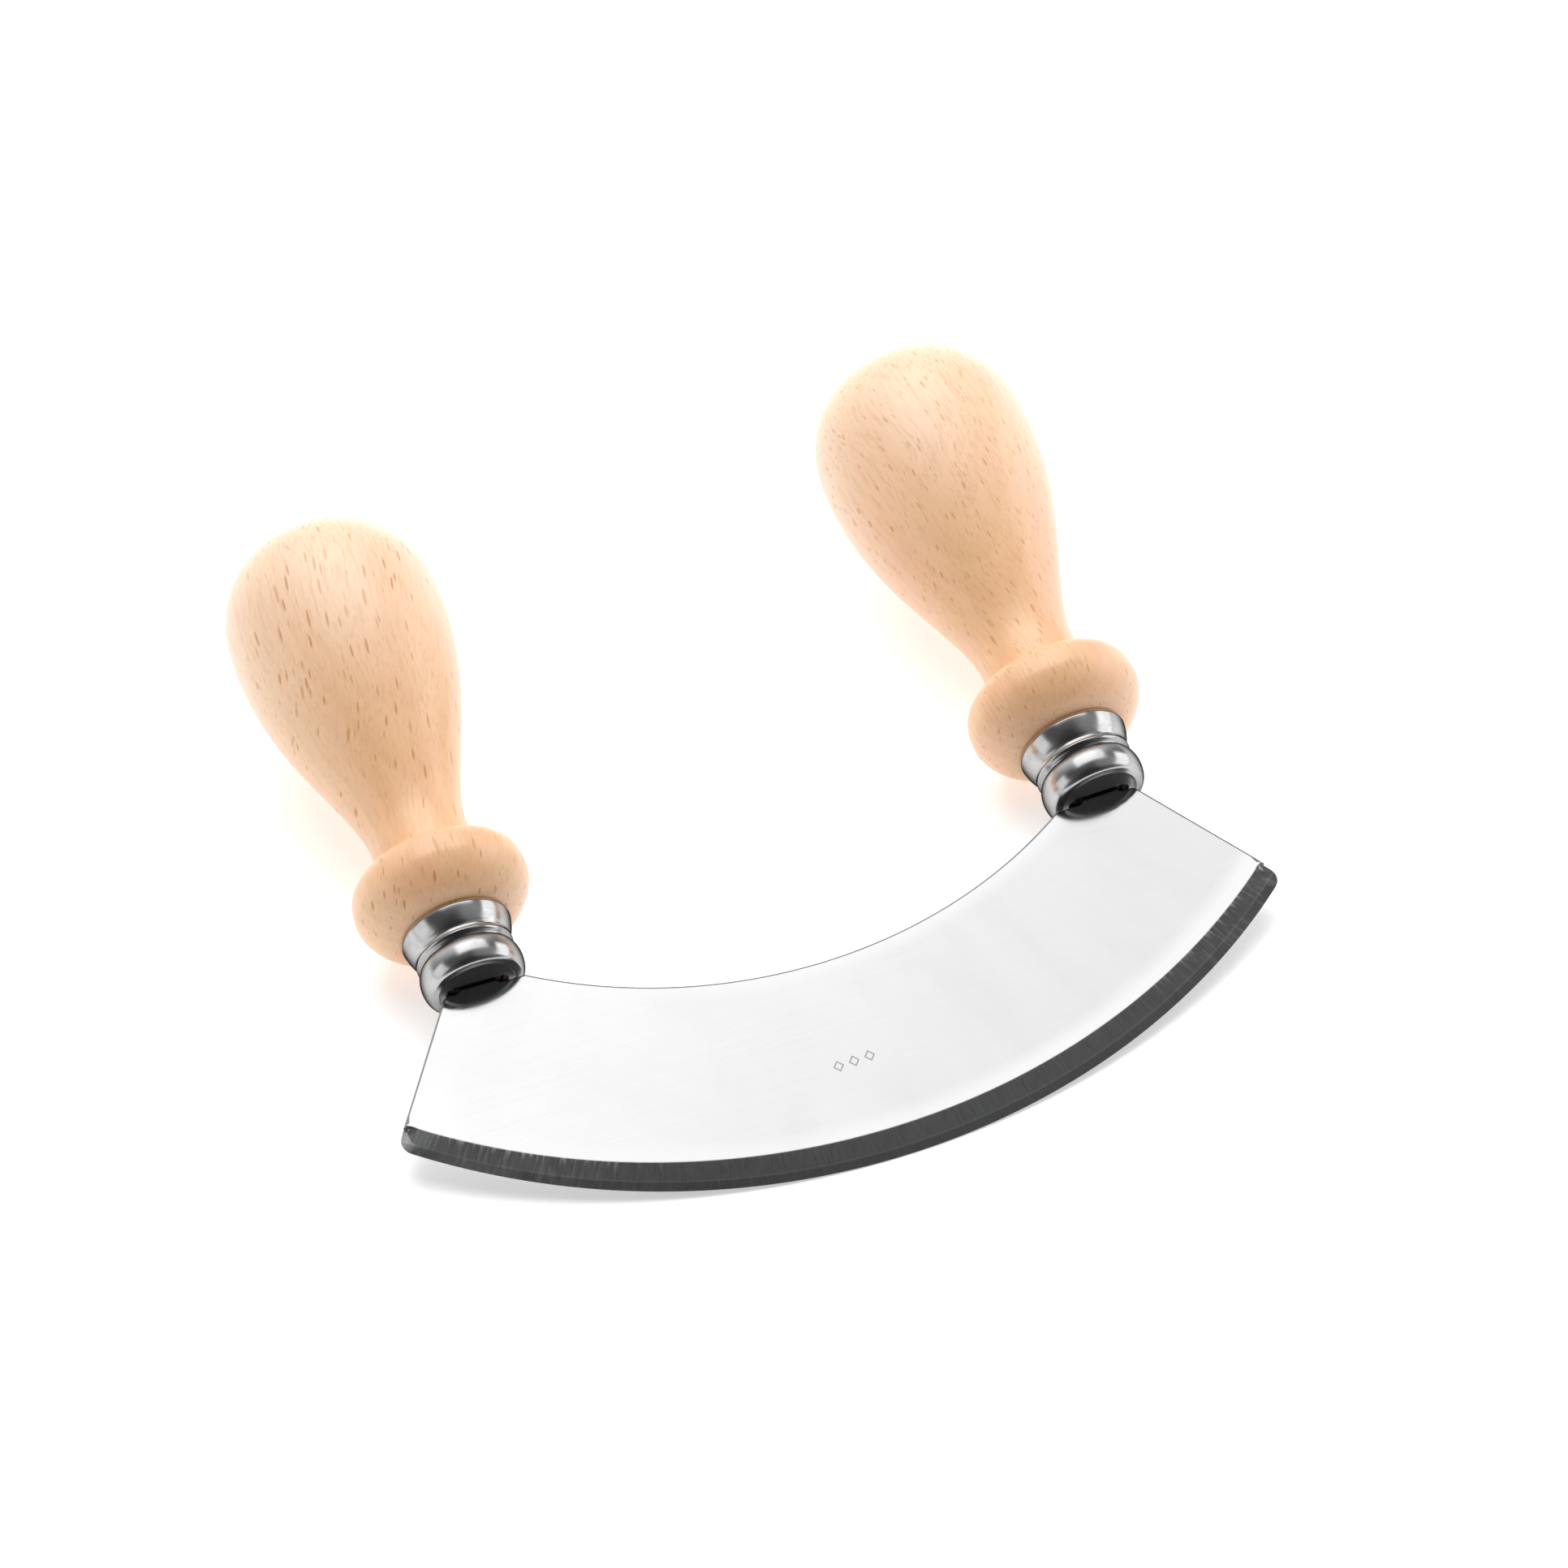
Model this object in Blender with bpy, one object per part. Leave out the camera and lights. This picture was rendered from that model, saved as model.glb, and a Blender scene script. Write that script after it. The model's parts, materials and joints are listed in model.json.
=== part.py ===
"""Single-blade mezzaluna (rocking herb chopper).

A crescent of stainless sheet is ground to a cutting edge along its outer arc.
Two flat tangs are blanked from the same sheet.  Each tang passes through a
slot in a drawn metal ferrule and is bedded in resin in the bore of a turned
beech handle.

Frame: the chopper lies on its side, as it is put down on a table.  It rests
on both wooden collars and on the lowest point of the cutting edge, at z = 0.
+X runs along the blade, +Y from the cutting edge towards the knobs, +Z up.
Origin: centre of the bounding box in X and Y, at its bottom.
Everything is designed in tool coordinates (u along the blade, v from the edge
to the handles, w across the sheet) under one tilted parent.
Units: metres.
"""
import math

import bmesh
import bpy
from mathutils import Matrix, Vector

MM = 0.001

# ---------------------------------------------------------------- blade (mm)
EDGE_RADIUS = 107.4        # cutting arc
BLADE_WIDTH = 35.6         # edge to inner arc, on the centre line
INNER_RADIUS = 76.8        # concave inner arc
SHEET = 1.8                # sheet thickness
EDGE_LAND = 0.1            # thickness left at the cutting edge
BEVEL_WIDTH = 4.7          # ground bevel, on the centre line
BEVEL_RADIUS = 106.3       # arc where the bevel meets the flat
END_CUT_U = 64.4           # the straight end cut passes this u ...
END_CUT_V = 36.0           # ... at this v
END_CUT_SLANT = 34.4       # degrees, leaning inwards going up
TIP_ROUND = 2.4            # corner radius at each tip
INNER_ROUND = 0.6          # tiny radius where the end cut meets the shoulder

# -------------------------------------------------------------- tangs (mm)
TANG_THICKNESS = 1.5       # tangs are eased so that they enter the slots
TANG_HALF_ROOT = 3.0
TANG_HALF_TIP = 2.0
TANG_LENGTH = 44.0         # above the ferrule base
TANG_POINT = 3.0           # length of the pointed end

# --------------------------------------------------- handle axes (mm, deg)
AXIS_U = 50.1              # ferrule base centre
AXIS_V = 49.1
TOE_IN = 1.4               # each handle leans inwards by this
FIT_GAP = 0.3              # clearance kept between neighbouring pieces

# ------------------------------------------------------------ ferrule (mm)
FERRULE_WALL = 0.8
FERRULE_BASE = 0.9         # thickness of the slotted base
BASE_FLAT_R = 6.0          # flat disc of the base
BEAD_R = 8.1               # rolled bead
BEAD_TOP = 5.3             # height of the bead
GROOVE_R = 7.25
RIDGE_R = 7.65             # raised line above the groove
RIDGE_AT = 6.2
COVE_R = 7.5
COVE_AT = 7.0
BAND_R = 8.6               # plain band under the wood
FERRULE_TOP = 10.6
SLOT_HALF_LENGTH = 5.0
SLOT_HALF_WIDTH = 1.5

# ------------------------------------------------------------- handle (mm)
TENON_R = 5.95
BORE_R = 4.5
BORE_END = 49.0
COLLAR_START_R = 8.0
COLLAR_MID = 17.2
COLLAR_R = 13.7
COLLAR_TOP = 22.5
COLLAR_UNDER_POWER = 1.6   # roundness of the underside
COLLAR_OVER_POWER = 3.0    # roundness of the upper shoulder
NECK_AT = 29.0
NECK_R = 7.7
SWELL_POWER = 0.78         # how early the neck swells into the knob
KNOB_AT = 67.8
KNOB_R = 16.85
KNOB_TOP = 85.2
KNOB_POWER = 2.4           # roundness of the crown

# ---------------------------------------------------------- facet counts
HANDLE_SEGMENTS = 36
FERRULE_SEGMENTS = 36
ARC_STEPS = 60


# ------------------------------------------------------------------ helpers
def remove_everything():
    for obj in list(bpy.data.objects):
        bpy.data.objects.remove(obj, do_unlink=True)
    for mesh in list(bpy.data.meshes):
        bpy.data.meshes.remove(mesh)
    for mat in list(bpy.data.materials):
        bpy.data.materials.remove(mat)


def material(name, colour, roughness, metallic):
    mat = bpy.data.materials.new(name)
    mat.use_nodes = True
    shader = mat.node_tree.nodes["Principled BSDF"]
    shader.inputs["Base Color"].default_value = (*colour, 1.0)
    shader.inputs["Roughness"].default_value = roughness
    shader.inputs["Metallic"].default_value = metallic
    mat.diffuse_color = (*colour, 1.0)
    return mat


def empty(name, matrix, parent=None):
    obj = bpy.data.objects.new(name, None)
    bpy.context.collection.objects.link(obj)
    obj.empty_display_size = 0.02
    obj.parent = parent
    obj.matrix_local = matrix
    return obj


def link(name, bm, mat, parent, sharp_deg=35.0):
    bmesh.ops.recalc_face_normals(bm, faces=bm.faces)
    mesh = bpy.data.meshes.new(name)
    bm.to_mesh(mesh)
    bm.free()
    obj = bpy.data.objects.new(name, mesh)
    bpy.context.collection.objects.link(obj)
    mesh.shade_smooth()
    mesh.set_sharp_from_angle(angle=math.radians(sharp_deg))
    if mat:
        mesh.materials.append(mat)
    obj.parent = parent
    return obj


def cutter(name, bm, parent):
    obj = link(name, bm, None, parent)
    obj.hide_render = True
    obj.display_type = "WIRE"
    return obj


def boolean(obj, other, operation):
    mod = obj.modifiers.new(operation.lower(), "BOOLEAN")
    mod.operation = operation
    mod.solver = "EXACT"
    mod.object = other


def lathe(profile, segments):
    """Turn (r, s) points, in mm, about local Z.  r = 0 makes a pole."""
    bm = bmesh.new()
    rings = []
    for r, s in profile:
        if r < 1e-6:
            rings.append([bm.verts.new((0.0, 0.0, s * MM))])
            continue
        rings.append([bm.verts.new((r * MM * math.cos(2 * math.pi * i / segments),
                                    r * MM * math.sin(2 * math.pi * i / segments),
                                    s * MM)) for i in range(segments)])
    for a, b in zip(rings, rings[1:]):
        for i in range(segments):
            j = (i + 1) % segments
            if len(a) == 1:
                bm.faces.new((a[0], b[i], b[j]))
            elif len(b) == 1:
                bm.faces.new((a[i], b[0], a[j]))
            else:
                bm.faces.new((a[i], b[i], b[j], a[j]))
    return bm


def prism(points, half):
    """Closed prism: plan points (u, v) in mm, thickness 2 * half along w."""
    bm = bmesh.new()
    low = [bm.verts.new((x * MM, y * MM, -half * MM)) for x, y in points]
    high = [bm.verts.new((x * MM, y * MM, half * MM)) for x, y in points]
    bm.faces.new(low[::-1])
    bm.faces.new(high)
    for i in range(len(points)):
        j = (i + 1) % len(points)
        bm.faces.new((low[i], low[j], high[j], high[i]))
    return bm


def smooth(t):
    return (1.0 - math.cos(math.pi * t)) / 2.0


# ------------------------------------------------------------ turned shapes
def collar_radius(s):
    """Radius of the beech collar at height s above the ferrule base."""
    if s <= COLLAR_MID:
        x = (COLLAR_MID - s) / (COLLAR_MID - (FERRULE_TOP + FIT_GAP))
        p = COLLAR_UNDER_POWER
        return COLLAR_START_R + (COLLAR_R - COLLAR_START_R) * max(0.0, 1 - x ** p) ** (1 / p)
    x = (s - COLLAR_MID) / (COLLAR_TOP - COLLAR_MID)
    p = COLLAR_OVER_POWER
    return NECK_R + (COLLAR_R - NECK_R) * max(0.0, 1 - x ** p) ** (1 / p)


def handle_profile(steps=1):
    """Outer profile of the wood, from the collar's lower rim to the crown."""
    start = FERRULE_TOP + FIT_GAP
    points = []
    n = 7 * steps
    for i in range(n + 1):                      # underside of the collar
        s = COLLAR_MID - (COLLAR_MID - start) * math.cos(0.5 * math.pi * i / n)
        points.append((collar_radius(s), s))
    for i in range(1, n + 1):                   # upper shoulder
        s = COLLAR_MID + (COLLAR_TOP - COLLAR_MID) * math.sin(0.5 * math.pi * i / n)
        points.append((collar_radius(s) if i < n else NECK_R + 0.25, s))
    points.append((NECK_R, COLLAR_TOP + 0.9))
    n = 9 * steps
    for i in range(n + 1):                      # neck swelling into the knob
        t = i / n
        s = NECK_AT + (KNOB_AT - NECK_AT) * t
        points.append((NECK_R + (KNOB_R - NECK_R) * smooth(t ** SWELL_POWER), s))
    n = 7 * steps
    for i in range(1, n + 1):                   # crown
        a = 0.5 * math.pi * i / n
        r = KNOB_R * math.cos(a) ** (2 / KNOB_POWER) if i < n else 0.0
        s = KNOB_AT + (KNOB_TOP - KNOB_AT) * math.sin(a) ** (2 / KNOB_POWER)
        points.append((r, s))
    return points


def ferrule_outer():
    """Outer profile of the drawn ferrule, from its base to its top rim."""
    pts = [(BASE_FLAT_R, 0.0), (BASE_FLAT_R + 0.75, 0.15)]
    n = 7
    for i in range(n + 1):                      # rolled bead, a half round
        a = math.radians(-52 + 128 * i / n)
        mid = BEAD_TOP * 0.52
        pts.append((GROOVE_R - 0.4 + (BEAD_R - GROOVE_R + 0.4) * math.cos(a),
                    mid + (BEAD_TOP - mid) * math.sin(a) * 1.02))
    pts.append((GROOVE_R, BEAD_TOP + 0.35))
    pts.append((RIDGE_R, RIDGE_AT))
    pts.append((COVE_R, COVE_AT))
    n = 3
    for i in range(1, n + 1):                   # flare up to the plain band
        t = i / n
        pts.append((COVE_R + (BAND_R - 0.1 - COVE_R) * math.sin(0.5 * math.pi * t),
                    COVE_AT + (FERRULE_TOP - 1.0 - COVE_AT) * t))
    pts.append((BAND_R, FERRULE_TOP - 0.3))
    pts.append((BAND_R - 0.15, FERRULE_TOP))
    return pts


# ------------------------------------------------------------------- blade
def arc_v(u, width_at_centre, radius):
    return width_at_centre + radius - math.sqrt(radius ** 2 - u ** 2)


def end_cut_u(v):
    return END_CUT_U - (v - END_CUT_V) * math.tan(math.radians(END_CUT_SLANT))


def solve(fn, a, b):
    fa = fn(a)
    for _ in range(60):
        m = 0.5 * (a + b)
        if (fn(m) > 0) == (fa > 0):
            a = m
        else:
            b = m
    return 0.5 * (a + b)


def shoulder_v(u):
    """Line square to the right handle's axis, one gap below the ferrule."""
    toe = math.radians(TOE_IN)
    return AXIS_V - FIT_GAP / math.cos(toe) + (u - AXIS_U) * math.tan(toe)


def tip_corner():
    """Centre and start/end angles of the rounding at the right tip."""
    slant = math.radians(END_CUT_SLANT)
    n = Vector((math.cos(slant), math.sin(slant)))          # out of the end cut
    p0 = Vector((END_CUT_U, END_CUT_V))
    c = Vector((0.0, EDGE_RADIUS))
    along = Vector((-n.y, n.x))
    base = p0 - n * TIP_ROUND

    def off(t):
        return (base + along * t - c).length - (EDGE_RADIUS - TIP_ROUND)
    t = solve(off, -30.0, 10.0)
    centre = base + along * t
    d = (centre - c).normalized()
    return centre, math.atan2(d.y, d.x), math.atan2(n.y, n.x)


def half_outline():
    """Right half, from the centre of the edge round to the centre of the
    inner arc: list of (edge point, point of the flat, is on the bevel)."""
    centre, a0, a1 = tip_corner()
    theta_end = math.pi / 2 + a0              # polar angle swept on the edge arc
    n, m, spread = ARC_STEPS // 2, 4, 7
    edges = [Vector((EDGE_RADIUS * math.sin(theta_end * i / n),
                     EDGE_RADIUS * (1 - math.cos(theta_end * i / n)))) for i in range(n + 1)]
    for i in range(1, m + 1):
        a = a0 + (a1 - a0) * i / m
        edges.append(centre + TIP_ROUND * Vector((math.cos(a), math.sin(a))))
    # where the bevel line meets the end cut
    u_meet = solve(lambda u: u - end_cut_u(arc_v(u, BEVEL_WIDTH, BEVEL_RADIUS)), 50.0, 80.0)
    meet = Vector((u_meet, arc_v(u_meet, BEVEL_WIDTH, BEVEL_RADIUS)))
    # the bevel line follows the edge, then spreads evenly over the tip
    out = []
    u_last = BEVEL_RADIUS * math.sin(theta_end * (n - spread) / n)
    for i, edge in enumerate(edges):
        if i <= n - spread:
            fu = BEVEL_RADIUS * math.sin(theta_end * i / n)
        else:
            fu = u_last + (u_meet - u_last) * (i - n + spread) / (spread + m + 1)
        out.append((edge, Vector((fu, arc_v(fu, BEVEL_WIDTH, BEVEL_RADIUS)))))
    out.append((meet, meet))
    # shoulder
    u_out = solve(lambda u: u - end_cut_u(shoulder_v(u)), 40.0, 80.0)
    u_in = solve(lambda u: shoulder_v(u) - arc_v(u, BLADE_WIDTH, INNER_RADIUS), 30.0, 60.0)
    corner = Vector((u_out, shoulder_v(u_out)))
    slant = math.radians(END_CUT_SLANT)
    back = Vector((math.sin(slant), -math.cos(slant)))
    toe = math.radians(TOE_IN)
    inward = Vector((-math.cos(toe), -math.sin(toe)))
    for p in (corner + back * INNER_ROUND,
              corner + (back + inward) * INNER_ROUND * 0.3,
              corner + inward * INNER_ROUND):
        out.append((p, p))
    n = ARC_STEPS // 3
    for i in range(n + 1):
        u = u_in * (1 - i / n)
        p = Vector((u, arc_v(u, BLADE_WIDTH, INNER_RADIUS)))
        out.append((p, p))
    return out


def blade_bmesh():
    right = half_outline()
    flip = lambda p: Vector((-p.x, p.y))
    left = [(flip(a), flip(b)) for a, b in right[1:-1]][::-1]
    loop = right + left
    bm = bmesh.new()
    half, land = SHEET / 2, EDGE_LAND / 2
    rings = []
    for which, w in ((1, half), (0, land), (0, -land), (1, -half)):
        rings.append([bm.verts.new((p[which].x * MM, p[which].y * MM, w * MM)) for p in loop])
    for a, b in zip(rings, rings[1:]):
        for i in range(len(loop)):
            j = (i + 1) % len(loop)
            bm.faces.new((a[i], a[j], b[j], b[i]))
    bm.faces.new(rings[0][::-1])
    bm.faces.new(rings[-1])
    return bm


def tang_points(grow=0.0, start=-1.6):
    """Plan of a tang in the handle's own plane: (across, along the axis)."""
    root, tip = TANG_HALF_ROOT + grow, TANG_HALF_TIP + grow
    shoulder = TANG_LENGTH - TANG_POINT
    end = TANG_LENGTH + grow
    return [(-root, start), (root, start), (tip, shoulder), (0.8 + grow, end),
            (-0.8 - grow, end), (-tip, shoulder)]


# ----------------------------------------------------------------- assembly
def rest_tilt():
    """Angle at which the edge and the handles touch one level surface."""
    toe = math.radians(TOE_IN)
    turned = handle_profile()

    def height(a):
        low = min((AXIS_V + s * math.cos(toe)) * math.sin(a) - r * math.cos(a)
                  for r, s in turned)
        return low + 0.5 * EDGE_LAND * math.cos(a)
    return solve(height, math.radians(1.0), math.radians(30.0))


def build():
    remove_everything()
    steel = material("blade_steel", (0.78, 0.78, 0.79), 0.22, 1.0)
    chrome = material("ferrule_chrome", (0.72, 0.72, 0.73), 0.08, 1.0)
    beech = material("beech", (0.80, 0.56, 0.36), 0.42, 0.0)
    resin = material("resin", (0.55, 0.47, 0.30), 0.55, 0.0)

    tool = empty("tool_frame", Matrix.Rotation(rest_tilt(), 4, "X"))

    blade = link("blade", blade_bmesh(), steel, tool, 20.0)

    for side, name in ((-1, "left"), (1, "right")):
        toe = math.radians(TOE_IN)
        axis = Vector((-side * math.sin(toe), math.cos(toe), 0.0))
        across = Vector((axis.y, -axis.x, 0.0))
        normal = axis.cross(across)
        rot = Matrix((across, normal, axis)).transposed().to_4x4()
        place = Matrix.Translation(Vector((side * AXIS_U, AXIS_V, 0.0)) * MM)
        seat = empty(name + "_axis", place @ rot, tool)

        # tang: a flat strip that grows out of the blade's shoulder
        bm = prism(tang_points(), TANG_THICKNESS / 2)
        bmesh.ops.rotate(bm, verts=bm.verts, matrix=Matrix.Rotation(math.pi / 2, 3, "X"))
        boolean(blade, cutter(name + "_tang_form", bm, seat), "UNION")

        # ferrule: a drawn cup, slotted for the tang
        outer = ferrule_outer()
        inner = [(r - FERRULE_WALL, s) for r, s in outer if s > FERRULE_BASE + 0.3]
        first = (outer[0][0] - 0.1, FERRULE_BASE)
        profile = [(0.0, 0.0)] + outer + inner[::-1] + [first, (0.0, FERRULE_BASE)]
        ferrule = link(name + "_ferrule", lathe(profile, FERRULE_SEGMENTS), chrome, seat)
        bm = prism([(-SLOT_HALF_LENGTH, -1.0), (SLOT_HALF_LENGTH, -1.0),
                    (SLOT_HALF_LENGTH, 3.0), (-SLOT_HALF_LENGTH, 3.0)], SLOT_HALF_WIDTH)
        bmesh.ops.rotate(bm, verts=bm.verts, matrix=Matrix.Rotation(math.pi / 2, 3, "X"))
        boolean(ferrule, cutter(name + "_slot_form", bm, seat), "DIFFERENCE")

        # handle: turned beech with a tenon and a bore for the tang
        foot = FERRULE_BASE + FIT_GAP
        top = FERRULE_TOP + FIT_GAP
        profile = [(0.0, BORE_END), (BORE_R, BORE_END), (BORE_R, foot),
                   (TENON_R, foot), (TENON_R, top)] + handle_profile()
        link(name + "_handle", lathe(profile, HANDLE_SEGMENTS), beech, seat)

        # resin: fills the bore round the tang
        r = BORE_R - FIT_GAP
        low, high = foot + 0.3, BORE_END - FIT_GAP
        fill = link(name + "_tang_adhesive",
                    lathe([(0.0, low), (r, low), (r, high), (0.0, high)], 20), resin, seat)
        bm = prism(tang_points(FIT_GAP, low - 1.0), TANG_THICKNESS / 2 + FIT_GAP)
        bmesh.ops.rotate(bm, verts=bm.verts, matrix=Matrix.Rotation(math.pi / 2, 3, "X"))
        boolean(fill, cutter(name + "_pocket_form", bm, seat), "DIFFERENCE")

    # origin: centre of the bounding box in X and Y, at its bottom
    bpy.context.view_layer.update()
    graph = bpy.context.evaluated_depsgraph_get()
    points = []
    for obj in bpy.data.objects:
        if obj.type == "MESH" and not obj.hide_render:
            ev = obj.evaluated_get(graph)
            mesh = ev.to_mesh()
            points += [ev.matrix_world @ v.co for v in mesh.vertices]
            ev.to_mesh_clear()
    low = Vector([min(p[i] for p in points) for i in range(3)])
    high = Vector([max(p[i] for p in points) for i in range(3)])
    shift = Vector((-(low.x + high.x) / 2, -(low.y + high.y) / 2, -low.z))
    tool.matrix_local = Matrix.Translation(shift) @ tool.matrix_local
    bpy.context.view_layer.update()


build()
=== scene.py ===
"""Looks of the single-blade mezzaluna: fine meshes, materials, light and camera.

Every piece is modelled in the tool's own coordinates (u along the blade, v from
the cutting edge to the handles, w across the sheet) and placed by the matrix
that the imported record's mounts give.  Lengths below are in millimetres unless a
comment says otherwise.
"""

import json  # noqa: E402
import math  # noqa: E402

import bmesh  # noqa: E402
import bpy  # noqa: E402
from mathutils import Matrix, Vector  # noqa: E402


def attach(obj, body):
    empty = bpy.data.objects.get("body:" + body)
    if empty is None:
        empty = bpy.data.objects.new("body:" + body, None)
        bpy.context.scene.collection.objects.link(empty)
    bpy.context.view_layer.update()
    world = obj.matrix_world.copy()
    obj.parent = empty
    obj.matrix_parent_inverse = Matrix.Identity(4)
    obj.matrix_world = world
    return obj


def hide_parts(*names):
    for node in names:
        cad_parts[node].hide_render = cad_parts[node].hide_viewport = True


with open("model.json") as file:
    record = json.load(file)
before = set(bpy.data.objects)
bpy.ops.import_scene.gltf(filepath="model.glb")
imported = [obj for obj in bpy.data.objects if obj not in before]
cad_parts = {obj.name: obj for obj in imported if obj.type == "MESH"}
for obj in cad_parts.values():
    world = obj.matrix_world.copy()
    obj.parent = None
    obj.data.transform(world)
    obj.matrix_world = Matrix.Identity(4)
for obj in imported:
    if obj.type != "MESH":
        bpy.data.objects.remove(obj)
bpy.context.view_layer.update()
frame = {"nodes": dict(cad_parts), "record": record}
SCENE = bpy.context.scene
MM = 0.001

# ---------------------------------------------------------------- blade
EDGE_RADIUS = 107.4
BLADE_WIDTH = 35.6
INNER_RADIUS = 76.8
HALF_SHEET = 0.9
HALF_LAND = 0.05
BEVEL_WIDTH = 4.7
BEVEL_RADIUS = 106.3
END_CUT_U, END_CUT_V, END_CUT_SLANT = 64.4, 36.0, 34.4
TIP_ROUND = 2.4
INNER_ROUND = 0.6
HONE_WIDTH = 1.45          # the narrow honed facet next to the cutting edge
HONE_HALF = 0.335          # half thickness where it starts
ARRIS = 0.32               # rounding of the sheet's edges
BEVEL_ARRIS = 0.16         # softer line between flat and bevel
TANG_HALF_ROOT, TANG_HALF_TIP = 3.0, 2.0
TANG_LENGTH, TANG_POINT = 44.0, 3.0
BLADE_STEPS = 150          # per half of the cutting arc
# lit and shaded tones of the flat's steel, between which its painted reflection runs
FLAT_LIT_TONE, FLAT_SHADED_TONE = (0.545, 0.545, 0.546), (0.470, 0.470, 0.472)
MARK_U, MARK_V = -2.0, 17.5

# -------------------------------------------------------------- handles
AXIS_U, AXIS_V, TOE_IN = 50.1, 49.1, 1.4
FIT_GAP = 0.3
FERRULE_WALL, FERRULE_BASE = 0.8, 0.9
BASE_FLAT_R, BEAD_R, BEAD_TOP = 5.72, 8.1, 5.3
GROOVE_R, RIDGE_R, RIDGE_AT = 7.25, 7.65, 6.2
COVE_R, COVE_AT, BAND_R, FERRULE_TOP = 7.5, 7.0, 8.6, 10.6
SLOT_HALF_LENGTH, SLOT_HALF_WIDTH = 5.0, 1.5
TENON_R, BORE_R, BORE_END = 5.95, 4.5, 49.0
COLLAR_START_R, COLLAR_MID, COLLAR_R, COLLAR_TOP = 8.0, 17.2, 13.7, 22.5
UNDER_POWER, OVER_POWER = 1.6, 3.0
NECK_AT, NECK_R, SWELL_POWER = 29.0, 7.7, 0.78
KNOB_AT, KNOB_R, KNOB_TOP, KNOB_POWER = 67.8, 16.85, 85.2, 2.4
NECK_FILLET = 1.5
HANDLE_SEGMENTS = 160
FLOOR_GLOW = 0.45           # painted light: the floor glows faintly by emission, though no lamp is under it, washing out the shadows on it
FERRULE_SEGMENTS = 144


# ---------------------------------------------------------------- placing
def tool_matrix():
    """World matrix of the tool's coordinates, from the blade's upper face."""
    mount = {m["name"]: m for m in frame["record"]["mounts"]}["blade_upper_face"]
    w = Vector(mount["axis"]).normalized()
    u = Vector((1.0, 0.0, 0.0))
    v = w.cross(u)
    origin = Vector(mount["pos_m"]) - v * 20.0 * MM - w * HALF_SHEET * MM
    m = Matrix((u, v, w)).transposed().to_4x4()
    m.translation = origin
    return m


TOOL = tool_matrix()


def seat_matrix(side):
    """World matrix of a handle: local Z is its axis, local Y looks down."""
    toe = math.radians(TOE_IN)
    axis = Vector((-side * math.sin(toe), math.cos(toe), 0.0))
    across = Vector((axis.y, -axis.x, 0.0))
    rot = Matrix((across, axis.cross(across), axis)).transposed().to_4x4()
    return TOOL @ Matrix.Translation(Vector((side * AXIS_U, AXIS_V, 0.0)) * MM) @ rot


def new_object(name, mesh, matrix, *mats):
    """Object at the origin, as the CAD nodes are; its place is in its mesh."""
    mesh.transform(matrix)
    obj = bpy.data.objects.new(name, mesh)
    SCENE.collection.objects.link(obj)
    for mat in mats:
        mesh.materials.append(mat)
    return obj


def finish_mesh(bm, name, sharp_deg=None):
    bmesh.ops.recalc_face_normals(bm, faces=bm.faces)
    mesh = bpy.data.meshes.new(name)
    bm.to_mesh(mesh)
    bm.free()
    mesh.shade_smooth()
    if sharp_deg:
        mesh.set_sharp_from_angle(angle=math.radians(sharp_deg))
    return mesh


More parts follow.
